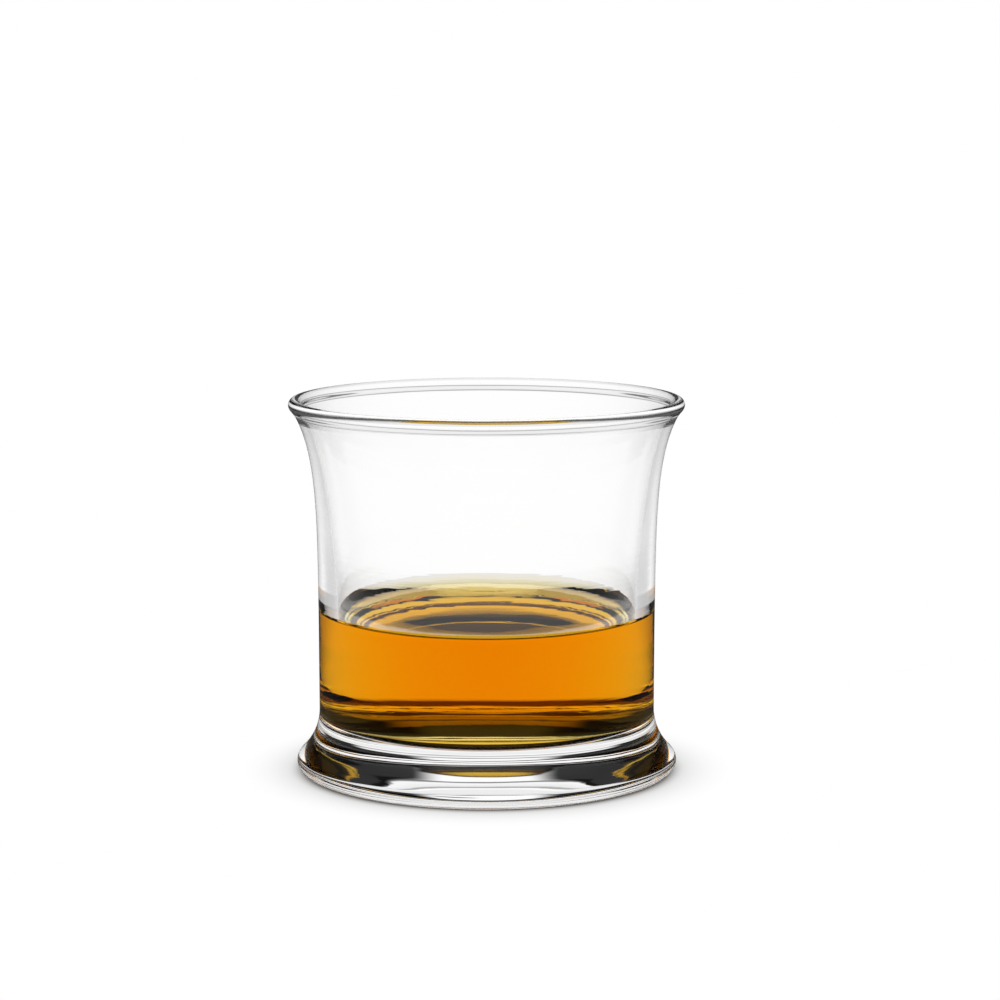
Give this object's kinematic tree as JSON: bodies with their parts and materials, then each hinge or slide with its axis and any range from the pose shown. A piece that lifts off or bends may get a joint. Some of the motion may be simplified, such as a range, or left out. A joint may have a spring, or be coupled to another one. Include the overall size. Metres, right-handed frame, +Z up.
{
  "type": "whisky glass",
  "caption": "Low round drinking glass with a flared lip, a rounded rim and a solid spreading foot, holding a measure of amber whisky.",
  "frame": {"origin": "on the table, at the middle of the ring that the foot stands on", "axes": "+Z up along the glass's own axis; the glass is round, so +X and +Y are any two square directions across it"},
  "size_m": [0.085, 0.085, 0.0808],
  "materials": {
    "clear_glass": "polished",
    "whisky": "polished"
  },
  "bodies": {
    "root": {"bowl": "clear_glass", "foot": "clear_glass", "whisky": "whisky"}
  },
  "joints": []
}
